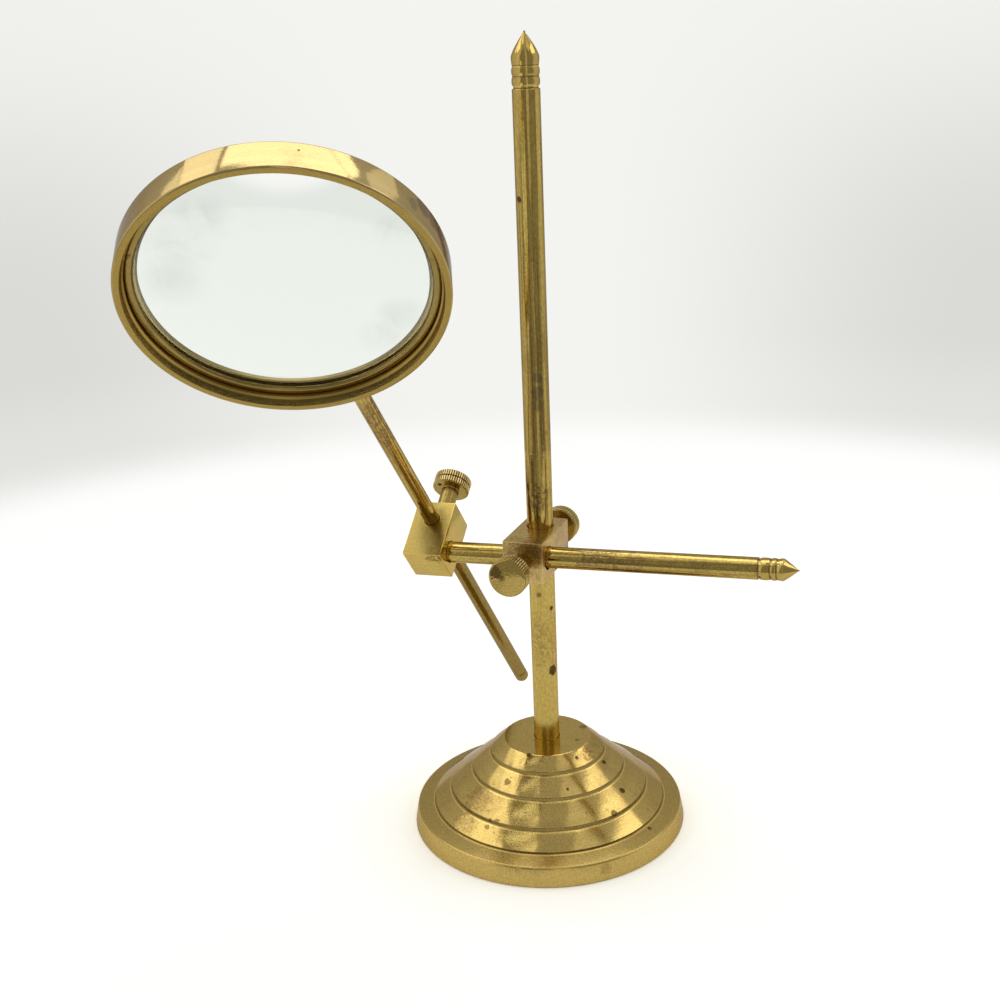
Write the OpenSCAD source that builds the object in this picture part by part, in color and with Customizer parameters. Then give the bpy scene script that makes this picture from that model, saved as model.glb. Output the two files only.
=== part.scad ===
// Magnifying glass on a stand: a biconvex lens in a turned brass frame, on a
// rod, a cross arm and a post, with two square clamp blocks and three
// thumbscrews, over a heavy stepped base.
// Millimetres, +Z up the post. The origin is the centre of the base's
// underside, and +X is the side of the cross arm's pointed end.

/* [Base] */
// Radius of the base where it stands on the table
base_r = 52; // [43:0.5:64]
// Height of the base
base_h = 33.8; // [28:0.2:41]
// Radius of the flat disc on top of the base
disc_r = 16.5; // [12:0.5:20]
// Width of the flange outside the stepped cone
flange_w = 8; // [5:0.5:12]
// Height of the flange at the foot of the cone
flange_h = 8.7; // [6:0.1:11]
// Fall of the flange's top from the cone to its edge
flange_fall = 1.3; // [0.4:0.1:2]
// Lean of the flange's outer wall
flange_lean = 1.3; // [0.4:0.1:3]
// Chamfer at the foot of the flange
foot_cut = 0.5; // [0.2:0.1:1]
// Width of the ledge below each turned step
step_w = 0.4; // [0.2:0.05:0.8]
// Radius of the recess under the base
recess_r = 11; // [10:0.5:14]
// Depth of the recess under the base
recess_h = 8.5; // [8:0.1:10]

/* [Post] */
// Radius of the post
post_r = 4.75; // [3.9:0.05:5.8]
// Height of the shoulder below the post's finial
post_top = 272; // [226:1:327]
// Height of the post's foot inside the base
post_foot = 14; // [11:0.5:20]
// Radius of the screw thread below the post's foot
post_screw_r = 3; // [2.5:0.1:3.6]
// Radius of the washer under the base
washer_r = 8; // [7:0.1:9]
// Thickness of the washer
washer_t = 1.2; // [0.8:0.1:1.6]
// Width of the nut across its flats
nut_flats = 10; // [9:0.5:12]
// Thickness of the nut
nut_t = 5; // [4:0.1:5.5]

/* [Clamp block] */
// Height of the cross arm above the table at the post
arm_z = 111.5; // [100:0.5:130]
// Wall beside the post's bore, which sets the side of the square bar
bar_wall = 2.75; // [2.2:0.05:4]
// Metal between the post and the cross arm
clamp_web = 3.9; // [3.2:0.05:6]
// Metal in front of the cross arm
clamp_front = 3.05; // [2.4:0.05:5]
// Metal behind the post
clamp_back = 4.65; // [3:0.05:7]
// Chamfer along the blocks' edges
block_cut = 0.3; // [0.1:0.05:0.6]

/* [Cross arm] */
// Radius of the cross arm
arm_r = 3.85; // [3.2:0.05:4.7]
// Length of the arm from the post's axis to its finial
arm_reach = 82.45; // [68:0.5:99]
// Droop of the arm towards the lens, in degrees, taken up by its bore
arm_droop = 2.5; // [0:0.1:3]

/* [Lens block] */
// Distance from the post's axis to the lens rod
rod_reach = 38.2; // [32:0.1:46]
// Lean of the lens rod towards the front, in degrees
rod_lean = 37.57; // [20:0.5:60]
// Metal between the cross arm and the lens rod
lens_web = 2.54; // [2:0.02:5]
// Metal in front of the cross arm
lens_front = 2.45; // [2:0.05:5]
// Metal behind the lens rod
lens_back = 4.51; // [3:0.05:7]
// Metal left at the blind end of the arm's bore
end_wall = 1.5; // [1:0.1:3]

/* [Lens rod] */
// Radius of the lens rod
rod_r = 2.85; // [2.35:0.05:3.45]
// Length of the rod from the lens block's middle to the frame
rod_up = 83.65; // [70:0.5:100]
// Length of the rod from the lens block's middle to its finial
rod_down = 110.2; // [92:0.5:113]
// Depth of the seat in the frame that takes the rod's end
rod_seat = 1.3; // [0.8:0.1:1.6]
// Radius of the screw thread on the rod's upper end
rod_screw_r = 1.9; // [1.5:0.1:2.2]

/* [Lens and frame] */
// Outer radius of the lens frame
frame_r = 50; // [41.5:0.5:60]
// Width of the frame from front to back
frame_w = 11; // [9:0.1:14]
// Thickness of the frame round the lens
frame_wall = 3.2; // [2.8:0.05:5]
// Thickness of the frame at its front edge
front_wall = 2.25; // [1.5:0.05:2.6]
// Depth of the front wall's taper
front_taper = 2.8; // [2:0.1:3.4]
// Width of the rear lip that the lens rests on
lip_w = 3.4; // [2.4:0.1:5]
// Thickness of the rear lip
lip_t = 2.8; // [2:0.1:3.2]
// Chamfer on the frame's edges
frame_cut = 0.4; // [0.2:0.05:0.8]
// Gap between the lens's rim and the frame
lens_gap = 0.4; // [0.1:0.05:0.8]
// Thickness of the lens at its rim
lens_rim = 2.4; // [1.5:0.1:3]
// Height of each of the lens's curved faces
lens_rise = 3; // [1.5:0.1:4.5]
// Width of the retaining ring
ring_w = 2.5; // [1.8:0.1:4]
// Height of the retaining ring above the lens's rim
ring_h = 1.6; // [1.1:0.1:2]
// Sideways offset of the frame's centre from the lens rod
frame_offset = 3.9; // [0:0.1:6]
// Turn of the frame about the lens rod, in degrees
frame_turn = 17.69; // [-180:1:180]

/* [Thumbscrews] */
// Radius of the knurled heads
knob_r = 6.95; // [5.8:0.05:7.4]
// Thickness of the heads
knob_t = 5.4; // [4.5:0.1:7]
// Radius of the neck under each head
neck_r = 3.2; // [2.8:0.05:3.9]
// Length of the neck
neck_len = 10.4; // [8:0.1:13]
// Width of the groove round the middle of each head
knob_groove = 0.4; // [0.2:0.05:0.8]
// Radius of the threaded studs
stud_r = 2; // [1.6:0.1:2.4]
// Depth of the stud in the neck and head
stud_grip = 12.5; // [9:0.1:13]

/* [Fits] */
// Clearance round each shaft, thread and rod that turns or slides
slip = 0.05; // [0.03:0.01:0.08]

/* [Hidden] */
$fn = 96;

// Both blocks are cut from one square bar
bar = 2 * (post_r + bar_wall);
arm_y = -(post_r + clamp_web + arm_r);
clamp_face = arm_y - arm_r - clamp_front;
clamp_rear = post_r + clamp_back;
// The arm's bore is square to the block, and wide enough for the droop
arm_bore = arm_r / cos(arm_droop) + bar / 2 * tan(arm_droop) + slip;
arm_end = -rod_reach - bar / 2 + end_wall;

// In the lens block +Y runs from the arm to the rod and +Z up the rod
rod_y = arm_r + lens_web + rod_r;
lens_face = -(arm_r + lens_front);
lens_rear = rod_y + rod_r + lens_back;

// The lens frame's own axis points to the front, with 0 at its middle
seat_r = frame_r - frame_wall;
lens_r = seat_r - lens_gap;
lip_r = lens_r - lip_w;
rim_back = -frame_w / 2 + lip_t;
rim_front = rim_back + lens_rim;
lens_curve = (pow(lens_r, 2) + pow(lens_rise, 2)) / (2 * lens_rise);
frame_dist = rod_up + sqrt(pow(frame_r, 2) - pow(frame_offset, 2));
// Metal left between the rod's thread and the lens seat
seat_web = 0.7;
rod_screw = frame_wall - rod_seat - seat_web;

// Share of the cone across and down at which each step is cut, and the
// height of the wall under it
step_out = [0.185, 0.447, 0.76, 1];
step_down = [0.186, 0.463, 0.769, 1];
step_wall = [1.1, 1.1, 1.3, 0.8];
step_fall = 0.2;

// Finials: neck length, beads from and to, nose's foot, widest place and
// tip, measured from the shoulder, and how full the nose is
post_turning = [0.9, [[0.9, 3.7], [4.2, 6.85]], 7.3, 10, 18.2, 1.32];
arm_turning = [0.65, [[0.65, 4.05], [4.45, 6.25]], 6.65, 8.45, 13.8, 1.12];
rod_turning = [0.5, [[0.5, 2.9]], 3.2, 4.7, 8.86, 1.4];
groove_share = 0.89;
waist_share = 0.94;
tip_r = 0.3;
// The finials' pegs, as shares of their rods' radius and as a length
peg_share = 0.45;
peg_len = 8;

brass = "#b99a4a";
bright_brass = "#d8b95c";
dark_brass = "#8d7134";
steel = "#8f9092";
glass = "#cfe3dd88";

// Height of a lens face above its rim's plane, at a distance from the axis
function face_rise(r) =
    sqrt(pow(lens_curve, 2) - pow(r, 2)) - sqrt(pow(lens_curve, 2) - pow(lens_r, 2));

// Outline of one step: down the cone to the edge, down the wall, out along
// the ledge
function step_line(i) =
    let (cone_w = base_r - flange_w - disc_r,
        cone_h = base_h - flange_h - step_wall[3] - step_fall,
        r = disc_r + step_out[i] * cone_w,
        z = base_h - step_down[i] * cone_h)
    [[r, z], [r, z - step_wall[i]], [r + step_w, z - step_wall[i] - step_fall]];

// Outline of a barrel bead between two heights
function bead_line(r, from, to, n = 6) =
    [for (i = [0 : n]) [
        r * (1 - (1 - waist_share) * pow(abs(2 * i / n - 1), 3)),
        from + (to - from) * i / n
    ]];

// Outline of a finial's nose: out to its widest place, then in to the tip
function nose_line(r, foot, wide, tip, full, n = 10) = concat(
    [for (i = [0 : 3]) [
        r * (1 - (1 - waist_share) * pow(1 - i / 3, 2)),
        foot + (wide - foot) * i / 3
    ]],
    [for (i = [1 : n]) [
        max(tip_r, r * (1 - pow(i / n, full))),
        wide + (tip - wide) * i / n
    ]]
);

// Places of the sub-assemblies
module at_arm() {
    translate([0, arm_y, arm_z]) rotate([0, -arm_droop, 0]) children();
}

module at_lens_block() {
    at_arm() rotate([rod_lean, 0, 0]) children();
}

module at_rod() {
    at_lens_block() translate([-rod_reach, rod_y, 0]) children();
}

module at_frame() {
    at_rod() translate([0, 0, frame_dist]) rotate([0, 0, frame_turn])
        translate([-frame_offset, 0, 0]) rotate([90, 0, 0]) children();
}

module at_arm_lock() {
    translate([0, clamp_face, arm_z]) rotate([90, 0, 0]) children();
}

module at_post_lock() {
    translate([0, clamp_rear, arm_z]) rotate([-90, 0, 0]) children();
}

module at_rod_lock() {
    at_lens_block() translate([-rod_reach, lens_rear, 0]) rotate([-90, 0, 0])
        children();
}

// Cylinder along Z between two heights
module bar_between(r, from, to) {
    translate([0, 0, from]) cylinder(r = r, h = to - from);
}

// Rectangle with its corners cut
module cut_square(w, h, c) {
    polygon([[c, 0], [w - c, 0], [w, c], [w, h - c], [w - c, h], [c, h], [0, h - c], [0, c]]);
}

// Box between two corners with all its edges chamfered
module cut_box(from, to, c) {
    size = to - from;
    translate(from) intersection() {
        linear_extrude(size.z) cut_square(size.x, size.y, c);
        translate([0, size.y, 0]) rotate([90, 0, 0])
            linear_extrude(size.y) cut_square(size.x, size.z, c);
        rotate([90, 0, 90]) linear_extrude(size.x) cut_square(size.y, size.z, c);
    }
}

// Turned finial on a rod's end at z = 0, no wider than the rod, with a peg
// down into it
module finial(r, turning) {
    rotate_extrude() polygon(concat(
        [[0, -peg_len], [r * peg_share, -peg_len], [r * peg_share, 0]],
        [[r * groove_share, 0], [r * groove_share, turning[0]]],
        [for (bead = turning[1]) each bead_line(r, bead[0], bead[1])],
        nose_line(r, turning[2], turning[3], turning[4], turning[5]),
        [[0, turning[4]]]
    ));
}

// Hole for a finial's peg, down from a rod's end at z = 0
module peg_hole(r) {
    bar_between(r * peg_share, -peg_len, 1);
}

// Threaded stud of a thumbscrew: z = 0 is the block's face, and its tip
// stands off what it clamps by the clearance
module stud(reach) {
    color(steel) bar_between(stud_r, -reach + slip, stud_grip - slip);
}

// Knurled head with its neck: the neck's end meets the block at z = 0
module knob() {
    mid = neck_len + knob_t / 2;
    top = neck_len + knob_t;
    cut = 0.35;
    color(brass) difference() {
        rotate_extrude() polygon([
            [0, slip], [neck_r, slip], [neck_r, neck_len],
            [knob_r - cut, neck_len], [knob_r, neck_len + cut],
            [knob_r, mid - knob_groove / 2], [knob_r - knob_groove, mid - knob_groove / 2],
            [knob_r - knob_groove, mid + knob_groove / 2], [knob_r, mid + knob_groove / 2],
            [knob_r, top - cut], [knob_r - cut, top], [0, top]
        ]);
        bar_between(stud_r + slip, -1, stud_grip);
    }
}

// Tapped hole for a stud, inwards from a block's face at z = 0
module stud_hole(reach) {
    bar_between(stud_r + slip, -reach, 1);
}

module base() {
    edge_h = flange_h - flange_fall;
    color(brass) difference() {
        rotate_extrude() polygon(concat(
            [[0, 0], [0, base_h], [disc_r, base_h]],
            [for (i = [0 : len(step_out) - 1]) each step_line(i)],
            [[base_r - flange_lean, edge_h], [base_r, foot_cut], [base_r - foot_cut, 0]]
        ));
        bar_between(post_r + slip, post_foot, base_h + 1);
        bar_between(post_screw_r + slip, recess_h - 1, post_foot + 1);
        bar_between(recess_r, -1, recess_h);
    }
}

module base_washer() {
    color(steel) difference() {
        bar_between(washer_r, recess_h - washer_t, recess_h);
        bar_between(post_screw_r + slip, 0, recess_h + 1);
    }
}

module base_nut() {
    top = recess_h - washer_t;
    color(steel) difference() {
        translate([0, 0, top - nut_t])
            cylinder(r = nut_flats / 2 / cos(30), h = nut_t, $fn = 6);
        bar_between(post_screw_r + slip, 0, recess_h);
    }
}

module post() {
    screw_end = recess_h - washer_t - nut_t - 0.8;
    color(brass) difference() {
        union() {
            bar_between(post_r, post_foot + slip, post_top);
            bar_between(post_screw_r, screw_end, post_foot + 1);
        }
        translate([0, 0, post_top]) peg_hole(post_r);
    }
}

module post_finial() {
    color(bright_brass) translate([0, 0, post_top]) finial(post_r, post_turning);
}

module clamp_block() {
    color(dark_brass) difference() {
        cut_box([-bar / 2, clamp_face, arm_z - bar / 2],
            [bar / 2, clamp_rear, arm_z + bar / 2], block_cut);
        bar_between(post_r + slip, arm_z - bar, arm_z + bar);
        translate([0, arm_y, arm_z]) rotate([0, 90, 0]) bar_between(arm_bore, -bar, bar);
        at_arm_lock() stud_hole(clamp_front + arm_r);
        at_post_lock() stud_hole(clamp_back + post_r);
    }
}

module arm_lock_stud() {
    at_arm_lock() stud(clamp_front);
}

module arm_lock_head() {
    at_arm_lock() knob();
}

module post_lock_stud() {
    at_post_lock() stud(clamp_back);
}

module post_lock_head() {
    at_post_lock() knob();
}

module cross_arm() {
    color(bright_brass) at_arm() rotate([0, 90, 0]) difference() {
        bar_between(arm_r, arm_end + slip, arm_reach);
        translate([0, 0, arm_reach]) peg_hole(arm_r);
    }
}

module arm_finial() {
    color(bright_brass) at_arm() rotate([0, 90, 0])
        translate([0, 0, arm_reach]) finial(arm_r, arm_turning);
}

module lens_block() {
    color(bright_brass) difference() {
        at_lens_block() cut_box([-rod_reach - bar / 2, lens_face, -bar / 2],
            [-rod_reach + bar / 2, lens_rear, bar / 2], block_cut);
        at_arm() rotate([0, 90, 0]) bar_between(arm_r + slip, arm_end, 0);
        at_rod() bar_between(rod_r + slip, -bar, bar);
        at_rod_lock() stud_hole(lens_back + rod_r);
    }
}

module rod_lock_stud() {
    at_rod_lock() stud(lens_back);
}

module rod_lock_head() {
    at_rod_lock() knob();
}

module lens_rod() {
    color(brass) at_rod() difference() {
        union() {
            bar_between(rod_r, -rod_down, rod_up + rod_seat);
            bar_between(rod_screw_r, rod_up, rod_up + rod_seat + rod_screw);
        }
        translate([0, 0, -rod_down]) rotate([180, 0, 0]) peg_hole(rod_r);
    }
}

module rod_finial() {
    color(dark_brass) at_rod() translate([0, 0, -rod_down]) rotate([180, 0, 0])
        finial(rod_r, rod_turning);
}

module lens_frame() {
    front = frame_w / 2;
    front_r = frame_r - front_wall;
    throat = front - front_taper;
    color(bright_brass) difference() {
        at_frame() rotate_extrude() polygon([
            [front_r, front], [frame_r - frame_cut, front], [frame_r, front - frame_cut],
            [frame_r, frame_cut - front], [frame_r - frame_cut, -front],
            [lip_r + frame_cut, -front], [lip_r, frame_cut - front],
            [lip_r, rim_back - face_rise(lip_r) - 2 * slip],
            [lens_r, rim_back - slip], [seat_r, rim_back - slip], [seat_r, throat],
            [(seat_r + front_r) / 2, throat]
        ]);
        at_rod() bar_between(rod_r + slip, rod_up - 2, rod_up + rod_seat + slip);
        at_rod() bar_between(rod_screw_r + slip, rod_up, rod_up + rod_seat + rod_screw + slip);
    }
}

module lens(n = 16) {
    color(glass) at_frame() rotate_extrude() polygon(concat(
        [for (i = [0 : n]) [lens_r * i / n, rim_back - face_rise(lens_r * i / n)]],
        [for (i = [n : -1 : 0]) [lens_r * i / n, rim_front + face_rise(lens_r * i / n)]]
    ));
}

module retaining_ring() {
    outer = seat_r - slip;
    inner = outer - ring_w;
    top = rim_front + ring_h;
    cut = ring_w / 4;
    color(brass) at_frame() rotate_extrude() polygon([
        [inner, rim_front + face_rise(inner) + slip], [lens_r, rim_front + slip],
        [outer, rim_front + slip], [outer, top - cut], [outer - cut, top],
        [inner + cut, top], [inner, top - cut]
    ]);
}

base();
base_washer();
base_nut();
post();
post_finial();
clamp_block();
arm_lock_stud();
arm_lock_head();
post_lock_stud();
post_lock_head();
cross_arm();
arm_finial();
lens_block();
rod_lock_stud();
rod_lock_head();
lens_rod();
rod_finial();
lens_frame();
lens();
retaining_ring();
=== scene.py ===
# Magnifying glass on a stand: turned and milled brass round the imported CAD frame
import math

import bpy
from bpy.props import FloatProperty, FloatVectorProperty, IntProperty, PointerProperty
from mathutils import Matrix, Vector


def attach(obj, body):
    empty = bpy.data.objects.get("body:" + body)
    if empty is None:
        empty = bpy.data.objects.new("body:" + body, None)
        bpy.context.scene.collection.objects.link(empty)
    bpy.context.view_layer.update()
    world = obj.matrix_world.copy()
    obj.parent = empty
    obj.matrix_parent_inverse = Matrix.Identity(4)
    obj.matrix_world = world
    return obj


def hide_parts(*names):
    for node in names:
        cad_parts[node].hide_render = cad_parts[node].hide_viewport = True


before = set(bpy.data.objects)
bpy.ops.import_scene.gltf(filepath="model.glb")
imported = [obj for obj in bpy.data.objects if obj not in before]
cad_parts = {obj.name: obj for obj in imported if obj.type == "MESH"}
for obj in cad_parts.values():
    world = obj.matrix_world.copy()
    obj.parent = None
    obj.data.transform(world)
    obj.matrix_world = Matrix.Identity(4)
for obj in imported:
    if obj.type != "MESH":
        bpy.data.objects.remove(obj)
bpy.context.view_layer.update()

bl_info = {
    "name": "Magnifying Glass on Stand",
    "version": (1, 0, 0),
    "blender": (4, 5, 0),
    "location": "3D View > Sidebar > Magnifier",
    "description": "Builds the brass stand, lens and studio round the packed CAD frame",
    "category": "Object",
}

MM = 0.001

# Places of the sub-assemblies, as the CAD source has them, in millimetres and degrees
ARM_Y = -12.5
ARM_Z = 111.5
ARM_DROOP = 2.5
ROD_LEAN = 37.57
ROD_REACH = 38.2
ROD_Y = 9.24
FRAME_DIST = 133.5
FRAME_TURN = 17.69
FRAME_OFFSET = 3.9
CLAMP_FACE = -19.4
CLAMP_REAR = 9.4
LENS_FACE = -6.3
LENS_REAR = 16.6
BAR_HALF = 7.5
POST_FOOT = 14.05
POST_TOP = 272
ARM_INNER = -44.15
ARM_REACH = 82.45
ROD_DOWN = 110.2
ROD_UP = 83.65

# Radii of the rods and of the holes drilled for them, in millimetres
POST_R = 4.75
ARM_R = 3.85
ROD_R = 2.85
POST_BORE = 4.8
ARM_BORE = 4.231
ARM_SOCKET = 3.9
ROD_BORE = 2.9
SCREW_BORE = 2.05
PEG_SHARE = 0.45
PEG_HOLE = 8.2

# How far a finial's beads draw in at their ends, as a share of its radius
WAIST = 0.94

# Radii of the base's four grooves, and the radius of a thumbscrew's knurled rim
GROOVES = (21.6, 28.8, 37.4, 44.0)
RIM_R = 6.95

# How close the patterns of age lie, in cycles a metre
CLOUD_SCALE = 34
SPOT_SCALE = 95
STAIN_SCALE = 230
SPECK_SCALE = 900
GRIT_SCALE = 1700

# How far dirt and painted shade spread from a corner, and bare metal from an edge, in metres
DIRT_AND_SHADE_REACH = 0.0016
WORN_REACH = 0.0005
# A stain wider than this, in millimetres, breaks up into specks
CLUSTER = 3
# A zone darker than this share of clean brass is packed dirt with painted shade
PACKED_DIRT_AND_SHADE = 0.2

# Paint of the table, and the grey of the ceiling and of the room behind the stand
TABLE = (0.9, 0.9, 0.88)
ROOM_GREY = (0.52, 0.52, 0.51)

# Ceiling panels, as (name, low corner, high corner, brightness), in metres
CEILING = 1.25
PANELS = (
    ("left panel", (-1.25, -0.38), (-0.67, 0.42), 1.25),
    ("near left panel", (-1.25, -0.62), (-0.56, -0.38), 1.25),
    ("far left panel", (-1.80, -0.35), (-1.27, 0.30), 0.8),
    ("middle panel", (-0.62, -0.01), (0.42, 0.52), 1.9),
    ("rear panel", (0.08, 0.53), (0.46, 0.72), 1.9),
    ("front panel", (-0.40, -0.50), (-0.05, -0.02), 0.9),
    ("right panel", (0.90, 0.02), (1.50, 1.15), 1.4),
    ("near right panel", (0.42, -0.42), (0.88, 0.02), 0.35),
    ("rear right panel", (0.48, 0.85), (0.88, 1.75), 0.5),
)

# The camera, in metres, radians and millimetres of focal length
CAMERA_PLACE = (0.1663, -0.4561, 0.2906)
CAMERA_YAW = -0.379
CAMERA_PITCH = -0.321
CAMERA_ROLL = -0.04175
FOCAL_LENGTH = 50.83


def turn(degrees, axis):
    return Matrix.Rotation(math.radians(degrees), 4, axis)


def shift(x, y, z):
    return Matrix.Translation(Vector((x, y, z)) * MM)


UPRIGHT = Matrix.Identity(4)
CLAMP = shift(0, ARM_Y, ARM_Z)
ARM = CLAMP @ turn(-ARM_DROOP, "Y")
ARM_LINE = ARM @ turn(90, "Y")
LENS_BLOCK = ARM @ turn(ROD_LEAN, "X")
ROD = LENS_BLOCK @ shift(-ROD_REACH, ROD_Y, 0)
FRAME = ROD @ shift(0, 0, FRAME_DIST) @ turn(FRAME_TURN, "Z") @ shift(-FRAME_OFFSET, 0, 0) @ turn(90, "X")
ARM_LOCK = shift(0, CLAMP_FACE, ARM_Z) @ turn(90, "X")
POST_LOCK = shift(0, CLAMP_REAR, ARM_Z) @ turn(-90, "X")
ROD_LOCK = LENS_BLOCK @ shift(-ROD_REACH, LENS_REAR, 0) @ turn(-90, "X")


def colour_setting(name, description, default):
    return FloatVectorProperty(name=name, description=description, default=default,
                               subtype="COLOR", size=3, min=0, max=1)


def length_setting(name, description, default):
    return FloatProperty(name=name, description=description, default=default,
                         min=0.0001, max=0.0006, unit="LENGTH", precision=5)


class MagnifierColours(bpy.types.PropertyGroup):
    """Colours of the brass, steel, glass and stage"""

    brass: colour_setting("Brass", "Colour of clean brass", (0.50, 0.355, 0.103))
    tarnish: colour_setting("Tarnish", "Colour of the brown tarnish", (0.22, 0.125, 0.04))
    spots: colour_setting("Spots", "Colour of the dark oxide spots", (0.06, 0.034, 0.012))
    steel: colour_setting("Steel", "Colour of the studs, nut and washer", (0.42, 0.41, 0.39))
    glass: colour_setting("Glass", "Tint of the lens", (0.953, 0.992, 0.966))
    floor: colour_setting("Floor", "Colour of the floor", (1.0, 1.0, 0.985))
    backdrop: colour_setting("Backdrop", "Colour of the backdrop", (0.90, 0.905, 0.87))


class MagnifierSizes(bpy.types.PropertyGroup):
    """Sizes of the details that the CAD model leaves out"""

    teeth: IntProperty(
        name="Knurl teeth", description="Straight teeth round each thumbscrew head",
        default=48, min=24, max=90,
    )
    tooth_depth: length_setting("Tooth depth", "Depth of the knurling", 0.00055)
    edge: length_setting("Block edge", "Width of the broken edge on the blocks", 0.0004)
    countersink: length_setting("Countersink", "Width of the broken edge round each bore", 0.00025)
    around: IntProperty(
        name="Segments", description="Segments round a turned piece of usual fineness",
        default=128, min=48, max=256,
    )


def colours():
    return bpy.context.scene.magnifier_colours


def sizes():
    return bpy.context.scene.magnifier_sizes


# Modelling helpers


def deselect():
    if bpy.context.object and bpy.context.object.mode != "OBJECT":
        bpy.ops.object.mode_set(mode="OBJECT")
    bpy.ops.object.select_all(action="DESELECT")


def pick(obj):
    deselect()
    obj.select_set(True)
    bpy.context.view_layer.objects.active = obj


def named(obj, name):
    obj.name = name
    obj.data.name = name
    return obj


def smooth(obj, degrees):
    """Shades a piece smooth, apart from edges sharper than the angle."""
    pick(obj)
    bpy.ops.object.shade_smooth_by_angle(angle=math.radians(degrees))


def settle(obj, place):
    """Puts a piece in its place and leaves its object at the origin."""
    pick(obj)
    obj.matrix_world = place @ obj.matrix_world
    bpy.ops.object.transform_apply(location=True, rotation=True, scale=True)
    return obj


def soften(outline, points=4):
    """Rounds the corners of an outline: a third number on a point is its radius in millimetres."""
    last = len(outline) - 1
    result = []
    for i, point in enumerate(outline):
        radius = point[2] if len(point) > 2 else 0
        here = Vector(point[:2])
        if i in (0, last) or radius <= 0:
            result.append(tuple(here))
            continue
        before = Vector(outline[i - 1][:2]) - here
        after = Vector(outline[i + 1][:2]) - here
        reach = min(radius, before.length * 0.45, after.length * 0.45)
        start = here + before.normalized() * reach
        end = here + after.normalized() * reach
        for k in range(points + 1):
            t = k / points
            result.append(tuple(start * (1 - t) ** 2 + here * 2 * t * (1 - t) + end * t ** 2))
    return result


def turned(name, outline, place=UPRIGHT, fine=0.75, steps=None, sharp=32):
    """Lathe work: an outline of (radius, height) in millimetres, drawn point by point and spun round.

    It has fine times the usual number of segments, or just as many as steps says.
    """
    steps = steps or round(sizes().around * fine)
    deselect()
    bpy.ops.mesh.primitive_plane_add(size=MM, location=(0, 0, 0))
    obj = named(bpy.context.object, name)
    bpy.ops.object.mode_set(mode="EDIT")
    bpy.ops.mesh.select_mode(type="VERT")
    bpy.ops.mesh.select_all(action="SELECT")
    bpy.ops.mesh.merge(type="CENTER")
    bpy.ops.transform.translate(value=(outline[0][0] * MM, 0, outline[0][1] * MM))
    for here, there in zip(outline, outline[1:]):
        move = ((there[0] - here[0]) * MM, 0, (there[1] - here[1]) * MM)
        bpy.ops.mesh.extrude_region_move(TRANSFORM_OT_translate={"value": move})
    bpy.ops.mesh.select_all(action="SELECT")
    bpy.ops.mesh.spin(steps=steps, angle=math.tau, center=(0, 0, 0), axis=(0, 0, 1))
    bpy.ops.mesh.select_all(action="SELECT")
    bpy.ops.mesh.remove_doubles(threshold=2e-6)
    bpy.ops.mesh.normals_make_consistent(inside=False)
    bpy.ops.object.mode_set(mode="OBJECT")
    smooth(obj, sharp)
    return settle(obj, place)


def knurl(obj, steps, rim, share):
    """Draws in every fourth line of vertices beyond a radius, which leaves straight teeth."""
    bpy.ops.object.mode_set(mode="EDIT")
    bpy.ops.mesh.select_mode(type="VERT")
    bpy.ops.mesh.select_all(action="DESELECT")
    bpy.ops.object.mode_set(mode="OBJECT")
    for vertex in obj.data.vertices:
        x, y = vertex.co[:2]
        step = round(math.atan2(y, x) / (math.tau / steps))
        vertex.select = Vector((x, y)).length > rim * MM and step % 4 == 0
    bpy.ops.object.mode_set(mode="EDIT")
    bpy.ops.transform.resize(value=(share, share, 1), center_override=(0, 0, 0))
    bpy.ops.object.mode_set(mode="OBJECT")


def cut_with(obj, cutter):
    """Cuts one piece out of another and removes the cutter."""
    pick(obj)
    cut = obj.modifiers.new("bore", "BOOLEAN")
    cut.operation = "DIFFERENCE"
    cut.solver = "EXACT"
    cut.object = cutter
    bpy.ops.object.modifier_apply(modifier=cut.name)
    bpy.data.objects.remove(cutter)


def drill(radius, low, high, place, flare_low=True):
    """A drill from low to high, which leaves a countersink at the mouths of its bore."""
    lip = sizes().countersink / MM
    outline = [(0, low - 1)]
    outline += [(radius + lip + 1, low - 1), (radius, low + lip)] if flare_low else [(radius, low - 1)]
    outline += [(radius, high - lip), (radius + lip + 1, high + 1), (0, high + 1)]
    return turned("drill", outline, place)


def block(name, low, high):
    """A milled bar with its edges broken, in its own axes, in millimetres."""
    deselect()
    middle = [(a + b) / 2 * MM for a, b in zip(low, high)]
    size = [(b - a) * MM for a, b in zip(low, high)]
    bpy.ops.mesh.primitive_cube_add(size=1, location=middle, scale=size)
    obj = named(bpy.context.object, name)
    bpy.ops.object.transform_apply(location=True, rotation=True, scale=True)
    bpy.ops.object.mode_set(mode="EDIT")
    bpy.ops.mesh.select_all(action="SELECT")
    bpy.ops.mesh.bevel(offset=sizes().edge, segments=2, profile=0.6, affect="EDGES")
    bpy.ops.object.mode_set(mode="OBJECT")
    return obj


def keep(obj, body, finish, node):
    """Gives a finished piece its material and its body, and hides the CAD node that it stands for."""
    obj.data.materials.clear()
    obj.data.materials.append(finish.material)
    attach(obj, body)
    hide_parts(node)


# Materials


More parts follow.
